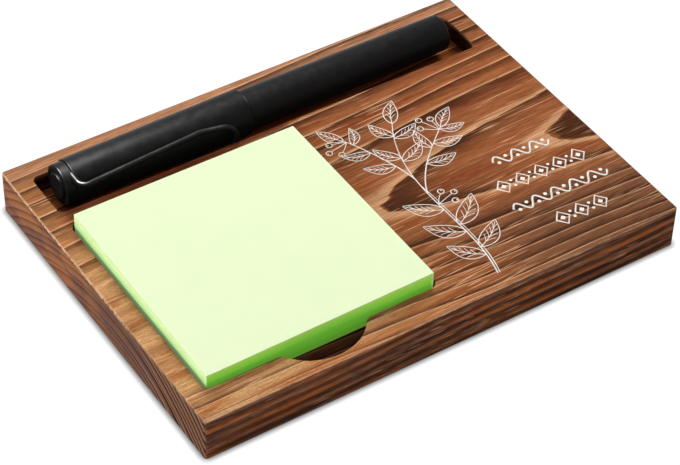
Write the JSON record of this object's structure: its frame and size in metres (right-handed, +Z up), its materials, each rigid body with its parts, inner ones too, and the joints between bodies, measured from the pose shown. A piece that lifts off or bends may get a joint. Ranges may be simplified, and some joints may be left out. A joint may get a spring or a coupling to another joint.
{
  "type": "memo pad holder",
  "caption": "Low wooden desk block with a square recess holding a pad of notes, a thumb scoop at its front, and a long slot behind it holding a capped ballpoint pen with a wire clip.",
  "frame": {"origin": "centre of the block's underside", "axes": "+X to the right along the long front edge, +Y to the back, +Z up"},
  "size_m": [0.165, 0.1206, 0.0236],
  "materials": {
    "stained_wood": "flamed and brushed softwood with a brown stain and a thin satin varnish",
    "white_ink": "thin screen-printed white line work on the wood",
    "pad_card": "plain backing sheet",
    "note_edges": "cut edges of a glued stack of coloured paper",
    "note_paper": "smooth uncoated light green paper",
    "pen_plastic": "fine satin black moulding",
    "inner_plastic": "plain dark moulding",
    "clip_wire": "black lacquered spring wire",
    "grip_plastic": "matt black moulding",
    "seal_rubber": "matt black rubber ring",
    "refill_plastic": "milky plastic tube",
    "tip_metal": "turned nickel silver",
    "ball_metal": "polished carbide ball",
    "refill_end_plastic": "plain dark moulding"
  },
  "bodies": {
    "holder": {"wood_block": "stained_wood"},
    "memo_pad": {"backing_sheet": "pad_card", "note_stack": "note_edges"},
    "top_note": {"top_note": "note_paper"},
    "pen_cap": {"cap_tube": "pen_plastic", "cap_collar": "pen_plastic", "cap_end_plug": "pen_plastic", "cap_inner_sleeve": "inner_plastic", "pocket_clip": "clip_wire"},
    "pen_barrel": {"barrel_tube": "pen_plastic", "grip_section": "grip_plastic", "section_seal_ring": "seal_rubber", "refill_tube": "refill_plastic", "refill_tip": "tip_metal", "writing_ball": "ball_metal", "refill_end_plug": "refill_end_plastic"}
  },
  "joints": [
    {"name": "pad_lift", "type": "slide", "parent": "holder", "child": "memo_pad", "axis": [0, 0, 1], "range_m": [0, 0.02]},
    {"name": "note_turn", "type": "hinge", "parent": "memo_pad", "child": "top_note", "pos_m": [-0.0368, 0.02778, 0.0195], "axis": [-1, 0, 0], "range_deg": [0, 100]},
    {"name": "pen_lift", "type": "slide", "parent": "holder", "child": "pen_cap", "axis": [0, 0, 1], "range_m": [0, 0.02]},
    {"name": "cap_pull", "type": "slide", "parent": "pen_cap", "child": "pen_barrel", "axis": [1, 0, 0.0057], "range_m": [0, 0.0063]}
  ]
}
